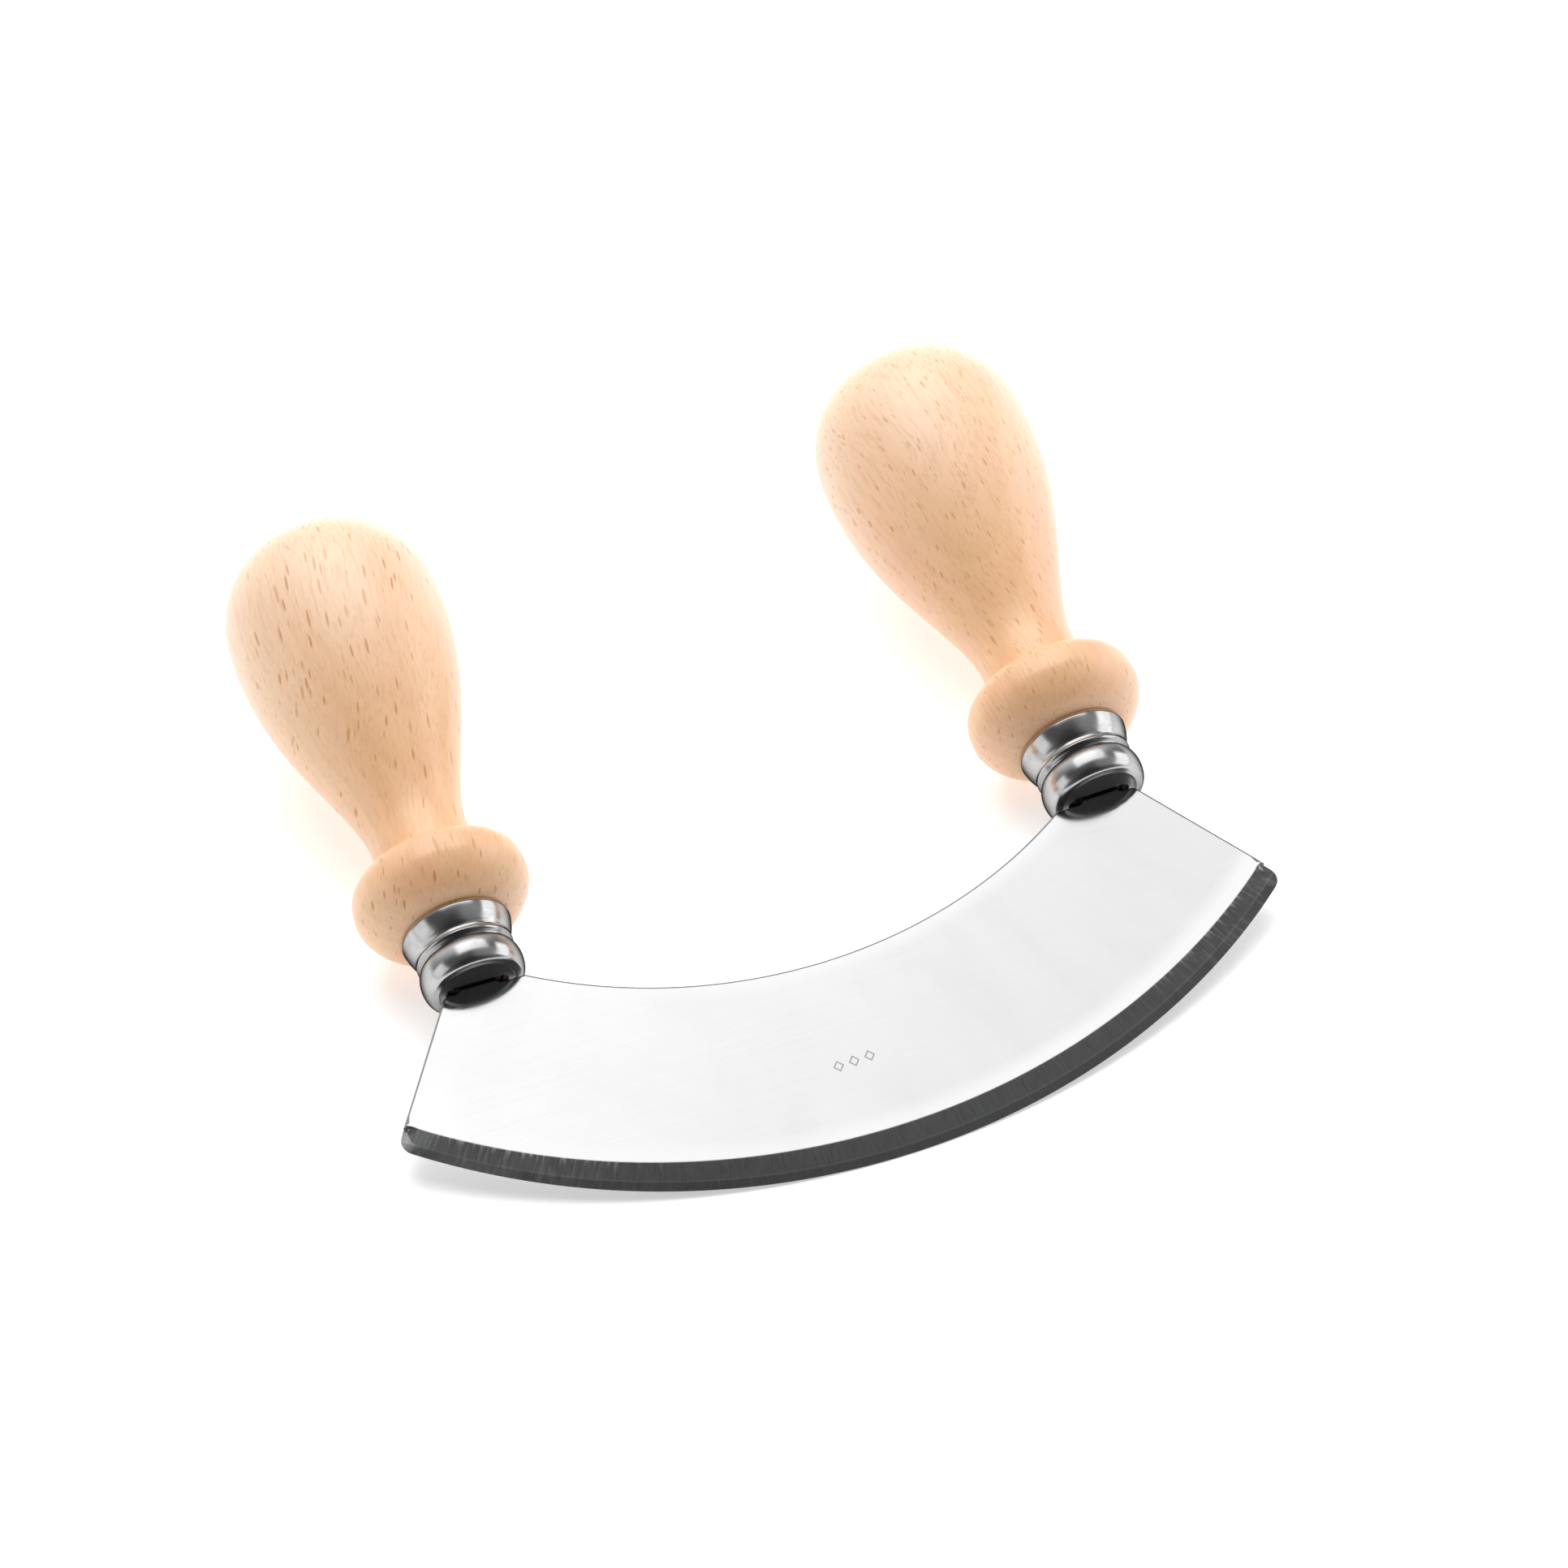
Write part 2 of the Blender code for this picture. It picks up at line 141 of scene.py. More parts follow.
# ------------------------------------------------------------ node helpers
class Graph:
    """Small helper that writes node trees as expressions."""

    def __init__(self, tree):
        self.tree = tree

    def node(self, kind, **props):
        n = self.tree.nodes.new(kind)
        for key, value in props.items():
            setattr(n, key, value)
        return n

    def put(self, socket, value):
        if isinstance(value, bpy.types.NodeSocket):
            self.tree.links.new(value, socket)
        else:
            socket.default_value = value

    def math(self, op, a, b=None, clamp=False):
        n = self.node("ShaderNodeMath", operation=op, use_clamp=clamp)
        self.put(n.inputs[0], a)
        if b is not None:
            self.put(n.inputs[1], b)
        return n.outputs[0]

    def vec(self, op, a, b=None):
        n = self.node("ShaderNodeVectorMath", operation=op)
        self.put(n.inputs[0], a)
        if b is not None:
            self.put(n.inputs[1], b)
        return n.outputs["Value"] if op in ("DOT_PRODUCT", "LENGTH") else n.outputs[0]

    def scaled(self, a, factor):
        n = self.node("ShaderNodeVectorMath", operation="SCALE")
        self.put(n.inputs[0], a)
        n.inputs["Scale"].default_value = factor
        return n.outputs[0]

    def split(self, a):
        n = self.node("ShaderNodeSeparateXYZ")
        self.put(n.inputs[0], a)
        return n.outputs

    def join(self, x, y, z):
        n = self.node("ShaderNodeCombineXYZ")
        for s, value in zip(n.inputs, (x, y, z)):
            self.put(s, value)
        return n.outputs[0]

    def noise(self, vector, scale=1.0, detail=2.0, roughness=0.5):
        n = self.node("ShaderNodeTexNoise")
        self.put(n.inputs["Vector"], vector)
        n.inputs["Scale"].default_value = scale
        n.inputs["Detail"].default_value = detail
        n.inputs["Roughness"].default_value = roughness
        return n.outputs["Fac"]

    def cells(self, vector, randomness=1.0):
        n = self.node("ShaderNodeTexVoronoi")
        self.put(n.inputs["Vector"], vector)
        n.inputs["Scale"].default_value = 1.0
        n.inputs["Randomness"].default_value = randomness
        return n.outputs["Distance"], n.outputs["Color"]

    def ramp(self, x, lo, hi, to_lo=0.0, to_hi=1.0, smooth=True):
        n = self.node("ShaderNodeMapRange", interpolation_type="SMOOTHSTEP" if smooth else "LINEAR")
        self.put(n.inputs["Value"], x)
        for key, value in (("From Min", lo), ("From Max", hi), ("To Min", to_lo), ("To Max", to_hi)):
            self.put(n.inputs[key], value)
        return n.outputs["Result"]

    def band(self, x, lo, hi, soft):
        """1 between lo and hi, falling to 0 within soft on both sides."""
        return self.math("MULTIPLY", self.ramp(x, lo - soft, lo), self.ramp(x, hi, hi + soft, 1.0, 0.0))

    def mix(self, factor, a, b, blend="MIX"):
        n = self.node("ShaderNodeMix", data_type="RGBA", blend_type=blend)
        self.put(n.inputs[0], factor)
        for socket, value in ((n.inputs[6], a), (n.inputs[7], b)):
            self.put(socket, (*value, 1.0) if isinstance(value, tuple) and len(value) == 3 else value)
        return n.outputs[2]

    def bump(self, height, distance, strength=1.0, normal=None):
        n = self.node("ShaderNodeBump")
        n.inputs["Distance"].default_value = distance
        n.inputs["Strength"].default_value = strength
        self.put(n.inputs["Height"], height)
        if normal is not None:
            self.put(n.inputs["Normal"], normal)
        return n.outputs["Normal"]


def new_material(name, preview, roughness, metallic, matrix=TOOL):
    """Material, its graph, its shader and the point in mm in matrix's frame."""
    mat = bpy.data.materials.new(name)
    mat.use_nodes = True
    mat.diffuse_color = (*preview, 1.0)
    g = Graph(mat.node_tree)
    shader = mat.node_tree.nodes["Principled BSDF"]
    shader.inputs["Roughness"].default_value = roughness
    shader.inputs["Metallic"].default_value = metallic
    back = matrix.inverted()
    local = g.node("ShaderNodeMapping")
    g.put(local.inputs["Vector"], g.node("ShaderNodeTexCoord").outputs["Object"])
    local.inputs["Rotation"].default_value = back.to_euler("XYZ")
    local.inputs["Location"].default_value = back.translation
    return mat, g, shader, g.scaled(local.outputs["Vector"], 1000.0)


# ---------------------------------------------------------------- materials
def steel_flat():
    """Satin-polished stainless sheet: faint rolling lines, cloudy polish."""
    mat, g, shader, p = new_material("polished_stainless", (0.8, 0.8, 0.81), 0.1, 1.0)
    u, v, w = g.split(p)
    # polar coordinates about the centre of the cutting arc
    dv = g.math("SUBTRACT", EDGE_RADIUS, v)
    angle = g.math("ARCTAN2", u, dv)
    radius = g.math("SQRT", g.math("ADD", g.math("MULTIPLY", u, u), g.math("MULTIPLY", dv, dv)))
    # faint rolling lines along u
    lines = g.noise(g.join(g.math("MULTIPLY", u, 0.05), g.math("MULTIPLY", v, 3.2), g.math("MULTIPLY", w, 0.3)),
                    detail=4.0, roughness=0.6)
    # cloudy buffing marks that run from the inner arc towards the edge
    clouds = g.noise(g.join(g.math("MULTIPLY", angle, 9.0), g.math("MULTIPLY", radius, 0.03), 4.0),
                     detail=3.0, roughness=0.5)
    wipe = g.noise(g.join(g.math("MULTIPLY", g.math("ADD", u, v), 0.055), g.math("MULTIPLY", v, 0.02), 11.0),
                   detail=2.0)
    # painted reflection: the base colour is darker towards one end and lighter along the borders, standing in for how
    # the softbox's reflection falls across the flat
    painted_reflection_falloff = g.math("ADD", g.math("MULTIPLY", u, 1.0), g.math("MULTIPLY", v, -0.9))
    base = g.mix(g.ramp(painted_reflection_falloff, -88.0, 22.0, smooth=False), FLAT_LIT_TONE, FLAT_SHADED_TONE)
    cloud = g.math("MULTIPLY", g.ramp(clouds, 0.40, 0.72), g.ramp(u, -40.0, 40.0, 0.30, 1.0))
    base = g.mix(g.math("MULTIPLY", cloud, 0.26), base, (0.415, 0.415, 0.418))
    base = g.mix(g.math("MULTIPLY", g.ramp(wipe, 0.35, 0.7), 0.18), base, (0.425, 0.425, 0.427))
    base = g.mix(g.math("MULTIPLY", g.ramp(lines, 0.3, 0.7), 0.10), base, (0.425, 0.425, 0.428))
    # painted highlight: the flat is painted brighter next to the bevel and along the inner arc, where the sheet's
    # surface rounds off
    inner = g.vec("LENGTH", g.join(u, g.math("SUBTRACT", v, BLADE_WIDTH + INNER_RADIUS), 0.0))
    rim = g.math("MAXIMUM", g.ramp(radius, EDGE_RADIUS - 8.4, EDGE_RADIUS - 5.2, 0.0, 1.0),
                 g.ramp(inner, INNER_RADIUS + 0.2, INNER_RADIUS + 3.4, 0.9, 0.0))
    rim = g.math("MULTIPLY", rim, g.ramp(u, -50.0, 30.0, 0.35, 0.85))
    base = g.mix(rim, base, FLAT_LIT_TONE)
    rough = g.math("ADD", g.ramp(lines, 0.3, 0.7, 0.085, 0.115), g.ramp(clouds, 0.35, 0.7, 0.0, 0.05))
    # a faint etched row of three lozenges stands where a maker would mark the sheet
    mark = None
    for i in (-1, 0, 1):
        x = g.math("ABSOLUTE", g.math("SUBTRACT", u, MARK_U + 2.5 * i))
        y = g.math("ABSOLUTE", g.math("SUBTRACT", v, MARK_V + 0.10 * i))
        d = g.math("ADD", x, g.math("MULTIPLY", y, 0.85))
        one = g.ramp(d, 0.80, 0.92, 1.0, 0.0)
        mark = one if mark is None else g.math("MAXIMUM", mark, one)
    inside = None
    for i in (-1, 0, 1):
        x = g.math("ABSOLUTE", g.math("SUBTRACT", u, MARK_U + 2.5 * i))
        y = g.math("ABSOLUTE", g.math("SUBTRACT", v, MARK_V + 0.10 * i))
        d = g.math("ADD", x, g.math("MULTIPLY", y, 0.85))
        one = g.ramp(d, 0.52, 0.64, 1.0, 0.0)
        inside = one if inside is None else g.math("MAXIMUM", inside, one)
    mark = g.math("SUBTRACT", mark, inside, clamp=True)
    mark = g.math("MULTIPLY", mark, g.ramp(w, 0.0, 0.5))
    g.put(shader.inputs["Base Color"], g.mix(g.math("MULTIPLY", mark, 0.60), base, (0.19, 0.19, 0.195)))
    g.put(shader.inputs["Roughness"], g.math("ADD", rough, g.math("MULTIPLY", mark, 0.3), clamp=True))
    g.put(shader.inputs["Normal"], g.bump(lines, 0.00001, 0.12))
    return mat


def steel_bevel():
    """Ground bevel: painted darker, standing in for the dark surroundings it reflects, with fine lines across it from
    the wheel.
    """
    mat, g, shader, p = new_material("ground_bevel", (0.32, 0.32, 0.33), 0.3, 1.0)
    u, v, w = g.split(p)
    dv = g.math("SUBTRACT", EDGE_RADIUS, v)
    angle = g.math("ARCTAN2", u, dv)
    radius = g.math("SQRT", g.math("ADD", g.math("MULTIPLY", u, u), g.math("MULTIPLY", dv, dv)))
    arc = g.math("MULTIPLY", angle, EDGE_RADIUS)
    fine = g.noise(g.join(g.math("MULTIPLY", arc, 4.5), g.math("MULTIPLY", radius, 0.35), g.math("MULTIPLY", w, 0.4)),
                   detail=5.0, roughness=0.65)
    marks = g.noise(g.join(g.math("MULTIPLY", arc, 1.25), g.math("MULTIPLY", radius, 0.22), 7.0),
                    detail=3.0, roughness=0.6)
    side = g.math("ABSOLUTE", g.math("ADD", arc, -4.0))
    ends = g.ramp(side, 34.0, 66.0, 0.04, 1.0)
    near_flat = g.ramp(radius, EDGE_RADIUS - 3.0, EDGE_RADIUS - 4.4, 0.25, 1.0)
    streak = g.math("MULTIPLY", g.math("MULTIPLY", g.ramp(marks, 0.50, 0.62), ends), near_flat)
    # painted reflection: the bevel's base colour is kept very dark, as the dark part a ground bevel reflects
    base = g.mix(g.ramp(fine, 0.3, 0.7), (0.150, 0.152, 0.155), (0.172, 0.174, 0.177))
    # painted reflection: lighter towards the left end and darker towards the right
    base = g.mix(g.ramp(arc, -72.0, -30.0, 0.34, 0.0), base, (0.27, 0.272, 0.276))
    base = g.mix(g.ramp(arc, 0.0, 60.0, 0.0, 0.30), base, (0.10, 0.101, 0.103))
    base = g.mix(g.math("MULTIPLY", streak, 0.62), base, (0.56, 0.565, 0.57))
    # painted highlight: a lighter line where the honed facet starts; painted shade: the facet below it darker
    line = g.band(radius, EDGE_RADIUS - HONE_WIDTH - 0.10, EDGE_RADIUS - HONE_WIDTH + 0.06, 0.08)
    base = g.mix(g.math("MULTIPLY", line, 0.22), base, (0.34, 0.345, 0.35))
    facet = g.ramp(radius, EDGE_RADIUS - HONE_WIDTH + 0.10, EDGE_RADIUS - HONE_WIDTH + 0.25)
    base = g.mix(g.math("MULTIPLY", facet, 0.30), base, (0.10, 0.10, 0.105))
    g.put(shader.inputs["Base Color"], base)
    g.put(shader.inputs["Roughness"], g.math("ADD", g.ramp(fine, 0.3, 0.7, 0.27, 0.33), g.math("MULTIPLY", streak, 0.10)))
    g.put(shader.inputs["Normal"], g.bump(fine, 0.00001, 0.08))
    return mat


def steel_cut():
    """Blanked edge of the sheet: duller, and painted dark to stand in for the dark reflection along the sheet's rounded
    edges, with lines across the thickness.
    """
    mat, g, shader, p = new_material("blanked_edge", (0.6, 0.6, 0.61), 0.35, 1.0)
    u, v, w = g.split(p)
    grain = g.noise(g.join(g.math("MULTIPLY", u, 2.6), g.math("MULTIPLY", v, 2.6), g.math("MULTIPLY", w, 0.5)),
                    detail=4.0, roughness=0.6)
    # painted reflection: the base colour is kept dark, as the dark line the rounded edges show
    g.put(shader.inputs["Base Color"], g.mix(g.ramp(grain, 0.3, 0.7), (0.15, 0.151, 0.153), (0.22, 0.221, 0.224)))
    g.put(shader.inputs["Roughness"], g.ramp(grain, 0.3, 0.7, 0.26, 0.42))
    g.put(shader.inputs["Normal"], g.bump(grain, 0.00003, 0.4))
    return mat


def chrome(name, matrix):
    """Bright-plated drawn ferrule: fine turned lines, painted shade darkening the groove."""
    mat, g, shader, p = new_material(name, (0.75, 0.75, 0.76), 0.1, 1.0, matrix)
    x, y, z = g.split(p)
    turn = g.noise(g.join(g.math("MULTIPLY", x, 0.12), g.math("MULTIPLY", y, 0.12), g.math("MULTIPLY", z, 5.0)),
                   detail=3.0, roughness=0.6)
    haze = g.noise(g.vec("MULTIPLY", p, (0.35, 0.35, 0.5)), detail=4.0, roughness=0.6)
    base = g.mix(g.ramp(haze, 0.35, 0.7), (0.510, 0.511, 0.514), (0.440, 0.441, 0.444))
    # painted shade: the groove between the bead and the raised line is painted darker
    low = g.band(z, BEAD_TOP + 0.05, RIDGE_AT - 0.25, 0.25)
    base = g.mix(g.math("MULTIPLY", low, 0.40), base, (0.20, 0.20, 0.205))
    base = g.mix(g.ramp(turn, 0.35, 0.75, 0.0, 0.15), base, (0.31, 0.312, 0.317))
    shader.inputs["Specular Tint"].default_value = (0.0, 0.0, 0.0, 1.0)
    g.put(shader.inputs["Base Color"], base)
    g.put(shader.inputs["Roughness"], g.math("ADD", g.ramp(turn, 0.3, 0.7, 0.165, 0.215),
                                             g.ramp(haze, 0.35, 0.75, 0.0, 0.07)))
    g.put(shader.inputs["Normal"], g.bump(turn, 0.00001, 0.25))
    return mat


def ferrule_base(name, matrix):
    """Slotted base disc of the ferrule, also used inside it: duller, and painted dark, standing in for the dark
    reflection on the disc and the shade inside.
    """
    mat, g, shader, p = new_material(name, (0.4, 0.4, 0.41), 0.25, 1.0, matrix)
    x, y, z = g.split(p)
    haze = g.noise(p, scale=0.6, detail=4.0, roughness=0.6)
    ring = g.vec("LENGTH", g.join(x, y, 0.0))
    lines = g.noise(g.join(g.math("MULTIPLY", ring, 4.0), 3.0, 1.0), detail=3.0)
    # painted reflection and shade: the base colour is kept dark
    base = g.mix(g.ramp(haze, 0.3, 0.7), (0.30, 0.30, 0.304), (0.25, 0.25, 0.254))
    base = g.mix(g.ramp(lines, 0.35, 0.7, 0.0, 0.20), base, (0.20, 0.20, 0.204))
    g.put(shader.inputs["Base Color"], base)
    g.put(shader.inputs["Roughness"], g.ramp(haze, 0.3, 0.7, 0.34, 0.42))
    g.put(shader.inputs["Normal"], g.bump(lines, 0.00001, 0.2))
    return mat


def beech(name, matrix, shift, lean, fleck_size, threshold, strength, fine_strength):
    """Steamed beech under a thin satin lacquer.

    The grain is a solid texture: growth rings about a far pith, short dark ray
    flecks that are spindles on the front and flakes on the flanks, fine fibres.
    """
    mat, g, shader, p = new_material(name, (0.80, 0.52, 0.32), 0.42, 0.0, matrix)
    a = math.radians(lean)
    fibre, side = (math.sin(a), 0.0, math.cos(a)), (math.cos(a), 0.0, -math.sin(a))
    # slow waviness of the fibres
    sway = g.noise(g.vec("ADD", g.scaled(p, 0.045), shift), detail=1.0)
    q = g.join(g.math("ADD", g.vec("DOT_PRODUCT", p, side), g.math("MULTIPLY", sway, 5.0)),
               g.vec("DOT_PRODUCT", p, (0.0, 1.0, 0.0)),
               g.vec("DOT_PRODUCT", p, fibre))
    qx, qy, qz = g.split(q)
    # growth rings
    rx = g.math("ADD", qx, -9.0 + shift[0])
    ry = g.math("ADD", qy, 46.0)
    rho = g.math("SQRT", g.math("ADD", g.math("MULTIPLY", rx, rx), g.math("MULTIPLY", ry, ry)))
    wander = g.noise(g.vec("ADD", g.vec("MULTIPLY", q, (0.06, 0.06, 0.02)), shift), detail=2.0)
    phase = g.math("FRACT", g.math("ADD", g.math("MULTIPLY", rho, 0.36), g.math("MULTIPLY", wander, 2.2)))
    late = g.math("MULTIPLY", g.ramp(phase, 0.15, 0.88), g.ramp(phase, 0.90, 1.0, 1.0, 0.0))
    # broad colour drift from straw to pink
    drift = g.noise(g.vec("ADD", g.vec("MULTIPLY", q, (0.07, 0.07, 0.03)), shift), detail=3.0, roughness=0.55)
    base = g.mix(g.ramp(drift, 0.35, 0.65), (0.900, 0.545, 0.290), (0.910, 0.505, 0.286))
    base = g.mix(g.math("MULTIPLY", late, 0.17), base, (0.72, 0.385, 0.175))
    # painted light: the wood is painted paler towards the crown, standing in for the overhead light and its highlight
    # there
    base = g.mix(g.ramp(g.split(p)[2], 36.0, 78.0, 0.0, 0.75), base, (0.940, 0.690, 0.490))
    # painted shade: the tenon's foot, seen only through the slot, is painted near black as the shade deep inside the
    # ferrule
    base = g.mix(g.ramp(g.split(p)[2], 1.6, 8.0, 0.94, 0.0), base, (0.030, 0.020, 0.014))
    # fibres
    fine = g.noise(g.vec("MULTIPLY", q, (5.5, 5.5, 0.28)), detail=4.0, roughness=0.6)
    coarse = g.noise(g.vec("ADD", g.vec("MULTIPLY", q, (2.1, 1.5, 0.17)), shift), detail=3.0, roughness=0.55)
    base = g.mix(g.ramp(fine, 0.45, 0.75, 0.0, 0.24), base, (0.66, 0.37, 0.17))
    base = g.mix(g.ramp(coarse, 0.46, 0.70, 0.0, 0.42), base, (0.72, 0.405, 0.185))
    # ray flecks
    far, tint = g.cells(g.vec("ADD", g.vec("DIVIDE", q, fleck_size), shift))
    pick = g.split(tint)
    size = g.math("MULTIPLY", g.ramp(pick[0], 0.1, 0.9, 0.55, 1.0, smooth=False), threshold)
    fleck = g.ramp(far, g.math("MULTIPLY", size, 0.55), size, 1.0, 0.0)
    dark = g.math("MULTIPLY", g.math("MULTIPLY", fleck, g.ramp(pick[1], 0.0, 1.0, 0.50, 1.0, smooth=False)), strength)
    dark = g.math("MULTIPLY", dark, g.ramp(g.split(p)[2], 62.0, 82.0, 1.0, 0.80))
    base = g.mix(dark, base, (0.60, 0.255, 0.075))
    # a second, finer family of flecks
    near, tint2 = g.cells(g.vec("ADD", g.vec("DIVIDE", q, (0.58, 1.9, 2.7)), shift))
    small = g.math("MULTIPLY", g.ramp(near, 0.12, 0.27, 1.0, 0.0), g.ramp(g.split(tint2)[0], 0.25, 0.9))
    base = g.mix(g.math("MULTIPLY", small, fine_strength), base, (0.64, 0.310, 0.12))
    g.put(shader.inputs["Base Color"], base)
    g.put(shader.inputs["Roughness"], g.math("ADD", g.ramp(fine, 0.3, 0.7, 0.40, 0.50), g.math("MULTIPLY", dark, 0.15)))
    shader.inputs["Coat Weight"].default_value = 0.9
    shader.inputs["Coat IOR"].default_value = 1.6
    shader.inputs["Coat Roughness"].default_value = 0.38
    height = g.math("SUBTRACT", g.math("MULTIPLY", fine, 0.35), g.math("ADD", g.math("MULTIPLY", dark, 0.5), g.math("MULTIPLY", coarse, 0.25)))
    g.put(shader.inputs["Normal"], g.bump(height, 0.00004, 0.4))
    return mat


def resin():
    mat, g, shader, p = new_material("cured_resin", (0.55, 0.47, 0.3), 0.5, 0.0)
    cloud = g.noise(p, scale=0.5, detail=4.0)
    g.put(shader.inputs["Base Color"], g.mix(g.ramp(cloud, 0.3, 0.7), (0.055, 0.048, 0.040), (0.038, 0.034, 0.030)))
    g.put(shader.inputs["Roughness"], g.ramp(cloud, 0.3, 0.7, 0.4, 0.6))
    g.put(shader.inputs["Normal"], g.bump(cloud, 0.00005, 0.4))
    return mat


def pale_floor():
    mat, g, shader, p = new_material("pale_floor", (0.9, 0.9, 0.9), 0.85, 0.0)
    tooth = g.noise(p, scale=0.8, detail=3.0)
    g.put(shader.inputs["Base Color"], g.mix(g.ramp(tooth, 0.3, 0.7), (0.855, 0.855, 0.855), (0.865, 0.865, 0.865)))
    g.put(shader.inputs["Roughness"], g.ramp(tooth, 0.3, 0.7, 0.82, 0.9))
    shader.inputs["Specular IOR Level"].default_value = 0.2
    # painted light: the floor's emission makes it glow, though it is no lamp
    shader.inputs["Emission Color"].default_value = (1.0, 1.0, 1.0, 1.0)
    shader.inputs["Emission Strength"].default_value = FLOOR_GLOW
    return mat


# ------------------------------------------------------------ blade outline
def arc_v(u, width_at_centre, radius):
    return width_at_centre + radius - math.sqrt(radius ** 2 - u ** 2)


def end_cut_u(v):
    return END_CUT_U - (v - END_CUT_V) * math.tan(math.radians(END_CUT_SLANT))


def solve(fn, a, b):
    fa = fn(a)
    for _ in range(60):
        m = 0.5 * (a + b)
        if (fn(m) > 0) == (fa > 0):
            a = m
        else:
            b = m
    return 0.5 * (a + b)


def shoulder_v(u):
    toe = math.radians(TOE_IN)
    return AXIS_V - FIT_GAP / math.cos(toe) + (u - AXIS_U) * math.tan(toe)


def tip_corner():
    slant = math.radians(END_CUT_SLANT)
    n = Vector((math.cos(slant), math.sin(slant)))
    c = Vector((0.0, EDGE_RADIUS))
    along = Vector((-n.y, n.x))
    base = Vector((END_CUT_U, END_CUT_V)) - n * TIP_ROUND
    t = solve(lambda t: (base + along * t - c).length - (EDGE_RADIUS - TIP_ROUND), -30.0, 10.0)
    centre = base + along * t
    d = (centre - c).normalized()
    return centre, math.atan2(d.y, d.x), math.atan2(n.y, n.x)


def half_stations():
    """Right half of the outline, from the middle of the cutting edge to the
    middle of the inner arc: (edge point, flat point, on the bevel)."""
    centre, a0, a1 = tip_corner()
    theta_end = math.pi / 2 + a0
    n, m, spread = BLADE_STEPS, 14, 34
    edges = [Vector((EDGE_RADIUS * math.sin(theta_end * i / n),
                     EDGE_RADIUS * (1 - math.cos(theta_end * i / n)))) for i in range(n + 1)]
    for i in range(1, m + 1):
        a = a0 + (a1 - a0) * i / m
        edges.append(centre + TIP_ROUND * Vector((math.cos(a), math.sin(a))))
    u_meet = solve(lambda u: u - end_cut_u(arc_v(u, BEVEL_WIDTH, BEVEL_RADIUS)), 50.0, 80.0)
    meet = Vector((u_meet, arc_v(u_meet, BEVEL_WIDTH, BEVEL_RADIUS)))
    # the wheel leaves the end cut a little early, so the bevel's corner is soft
    slant = math.radians(END_CUT_SLANT)
    down_cut = Vector((math.sin(slant), -math.cos(slant)))
    out = []
    u_last = BEVEL_RADIUS * math.sin(theta_end * (n - spread) / n)
    for i, edge in enumerate(edges):
        if i <= n - spread:
            fu = BEVEL_RADIUS * math.sin(theta_end * i / n)
        else:
            fu = u_last + (u_meet - u_last) * (i - n + spread) / (spread + m + 1)
        flat = Vector((fu, arc_v(fu, BEVEL_WIDTH, BEVEL_RADIUS)))
        near = max(0.0, 1.0 - (meet - flat).length / 2.0)
        out.append((edge, flat + down_cut * 0.55 * near ** 2, True))
    meet = meet + down_cut * 0.55
    out.append((meet, meet, False))
    # straight end cut up to the shoulder
    u_out = solve(lambda u: u - end_cut_u(shoulder_v(u)), 40.0, 80.0)
    u_in = solve(lambda u: shoulder_v(u) - arc_v(u, BLADE_WIDTH, INNER_RADIUS), 30.0, 60.0)
    corner = Vector((u_out, shoulder_v(u_out)))
    back = Vector((math.sin(slant), -math.cos(slant)))
    toe = math.radians(TOE_IN)
    inward = Vector((-math.cos(toe), -math.sin(toe)))
    first = corner + back * INNER_ROUND
    for i in range(1, 10):
        p = meet.lerp(first, i / 10)
        out.append((p, p, False))
    for i in range(7):                       # rounded corner, a quadratic curve
        t = i / 6
        p = (corner + back * INNER_ROUND) * (1 - t) ** 2 + corner * 2 * t * (1 - t) \
            + (corner + inward * INNER_ROUND) * t ** 2
        out.append((p, p, False))
    # tang, in the plane of the sheet and along the handle's axis
    axis = Vector((-math.sin(toe), math.cos(toe)))
    across = Vector((axis.y, -axis.x))
    seat = Vector((AXIS_U, AXIS_V))

    def tang(x, s):
        return seat + across * x + axis * s
    fillet = 0.8
    low = -FIT_GAP
    shoulder_end = TANG_LENGTH - TANG_POINT
    for i in range(6):                       # inside corner at the root
        a = 0.5 * math.pi * i / 5
        p = tang(TANG_HALF_ROOT + fillet * (1 - math.sin(a)), low + fillet * (1 - math.cos(a)))
        out.append((p, p, False))
    for i in range(1, 9):
        t = i / 8
        p = tang(TANG_HALF_ROOT + (TANG_HALF_TIP - TANG_HALF_ROOT) * t,
                 low + fillet + (shoulder_end - low - fillet) * t)
        out.append((p, p, False))
    for x in (0.8, -0.8):
        p = tang(x, TANG_LENGTH)
        out.append((p, p, False))
    for i in range(8, 0, -1):
        t = i / 8
        p = tang(-TANG_HALF_ROOT - (TANG_HALF_TIP - TANG_HALF_ROOT) * t,
                 low + fillet + (shoulder_end - low - fillet) * t)
        out.append((p, p, False))
    for i in range(5, -1, -1):
        a = 0.5 * math.pi * i / 5
        p = tang(-TANG_HALF_ROOT - fillet * (1 - math.sin(a)), low + fillet * (1 - math.cos(a)))
        out.append((p, p, False))
    n = 90
    for i in range(n + 1):
        u = u_in * (1 - i / n)
        p = Vector((u, arc_v(u, BLADE_WIDTH, INNER_RADIUS)))
        out.append((p, p, False))
    return out


def outward(points):
    """Outward unit normals of a closed loop of plan points (anticlockwise)."""
    out = []
    n = len(points)
    for i, p in enumerate(points):
        a, b = (p - points[i - 1]), (points[(i + 1) % n] - p)
        na = Vector((a.y, -a.x)).normalized() if a.length > 1e-7 else Vector((0.0, 0.0))
        nb = Vector((b.y, -b.x)).normalized() if b.length > 1e-7 else Vector((0.0, 0.0))
        m = (na + nb)
        m = m.normalized() if m.length > 1e-9 else na
        out.append(m / max(0.5, m.dot(nb if nb.length else na)))
    return out


